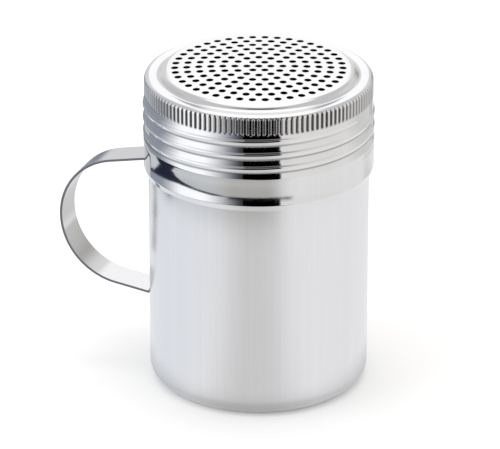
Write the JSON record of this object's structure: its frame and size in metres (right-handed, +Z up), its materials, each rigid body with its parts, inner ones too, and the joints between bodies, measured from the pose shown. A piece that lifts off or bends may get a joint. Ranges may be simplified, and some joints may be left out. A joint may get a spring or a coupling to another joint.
{
  "type": "spice shaker",
  "caption": "Hand-held spice shaker: a drawn steel cup with a bent strap handle and a screw lid with a knurled rim and a domed, perforated top.",
  "frame": {"origin": "middle of the flat base of the cup", "axes": "+Z up along the axis of cup and lid, -X towards the handle"},
  "size_m": [0.0988, 0.07, 0.1012],
  "materials": {
    "cup_steel": "satin stainless steel, brushed upright",
    "lid_steel": "bright polished stainless steel",
    "strap_steel": "bright rolled stainless steel strip, faint lengthwise grain"
  },
  "bodies": {
    "cup": {"cup": "cup_steel", "handle": "strap_steel"},
    "lid": {"lid": "lid_steel"}
  },
  "joints": [
    {"name": "lid_turn", "type": "hinge", "parent": "cup", "child": "lid", "pos_m": [0, 0, 0.085], "axis": [0, 0, 1], "range_deg": [0, 1260]}
  ]
}
